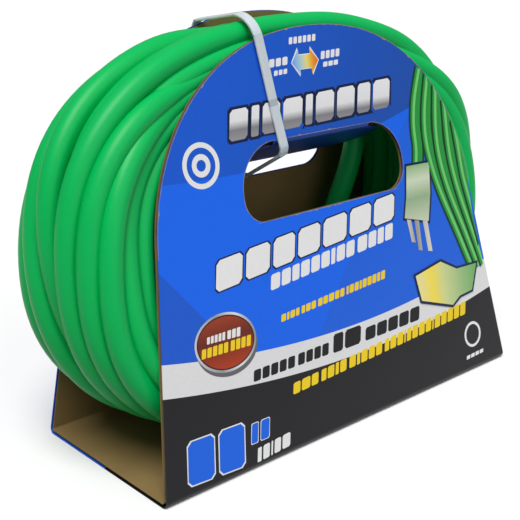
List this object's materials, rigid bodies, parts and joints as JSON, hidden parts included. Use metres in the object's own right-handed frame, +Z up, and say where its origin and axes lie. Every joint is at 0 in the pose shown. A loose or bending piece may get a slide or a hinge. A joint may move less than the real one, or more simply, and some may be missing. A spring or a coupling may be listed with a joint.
{
  "type": "extension cord",
  "caption": "Outdoor extension cord coiled on edge in a folded carton sleeve with hand holes, its plug and connector inside, held by one cable tie.",
  "frame": {"origin": "middle of the sleeve's base, on the surface that it stands on", "axes": "+Z up, X along the sleeve's width, the printed front panel faces -Y"},
  "size_m": [0.243, 0.083, 0.1742],
  "materials": {
    "kraft_board": "raw corrugated board",
    "printed_board": "coated print on corrugated board",
    "tie_nylon": "translucent nylon",
    "cord_jacket": "satin rubber jacket",
    "clear_moulding": "clear vinyl",
    "bridge_plastic": "moulded",
    "contact_brass": "bright",
    "line_wire": "insulation",
    "neutral_wire": "insulation",
    "ground_wire": "insulation",
    "lamp_glass": "clear lens",
    "resistor_ceramic": "glazed"
  },
  "bodies": {
    "root": {"carton_bottom_panel": "kraft_board", "carton_front_panel": "printed_board", "carton_back_panel": "printed_board", "tie_strap": "tie_nylon", "tie_head": "tie_nylon", "cord_coil": "cord_jacket", "plug_lead": "cord_jacket", "connector_lead": "cord_jacket", "plug_body": "clear_moulding", "plug_core": "bridge_plastic", "plug_strain_relief": "clear_moulding", "plug_line_blade": "contact_brass", "plug_neutral_blade": "contact_brass", "plug_ground_pin": "contact_brass", "plug_line_wire": "line_wire", "plug_neutral_wire": "neutral_wire", "plug_ground_wire": "ground_wire", "connector_body": "clear_moulding", "connector_core": "bridge_plastic", "connector_strain_relief": "clear_moulding", "connector_line_contact": "contact_brass", "connector_neutral_contact": "contact_brass", "connector_ground_contact": "contact_brass", "connector_line_wire": "line_wire", "connector_neutral_wire": "neutral_wire", "connector_ground_wire": "ground_wire", "indicator_lamp": "lamp_glass", "lamp_resistor": "resistor_ceramic"},
    "front_flap": {"front_handle_flap": "printed_board"},
    "back_flap": {"back_handle_flap": "printed_board"},
    "pawl": {"tie_pawl": "tie_nylon"}
  },
  "joints": [
    {"name": "front_flap_crease", "type": "hinge", "parent": "root", "child": "front_flap", "pos_m": [0, -0.01306, 0.1242], "axis": [1, 0, 0], "range_deg": [-6, 2.5]},
    {"name": "back_flap_crease", "type": "hinge", "parent": "root", "child": "back_flap", "pos_m": [0, 0.03062, 0.12695], "axis": [-1, 0, 0], "range_deg": [0, 8]},
    {"name": "tie_pawl_spring", "type": "hinge", "parent": "root", "child": "pawl", "pos_m": [-0.02787, 0.03817, 0.15218], "axis": [-0.9903, 0, -0.1392], "range_deg": [0, 10], "stiffness_Nm_per_rad": 0.002}
  ]
}
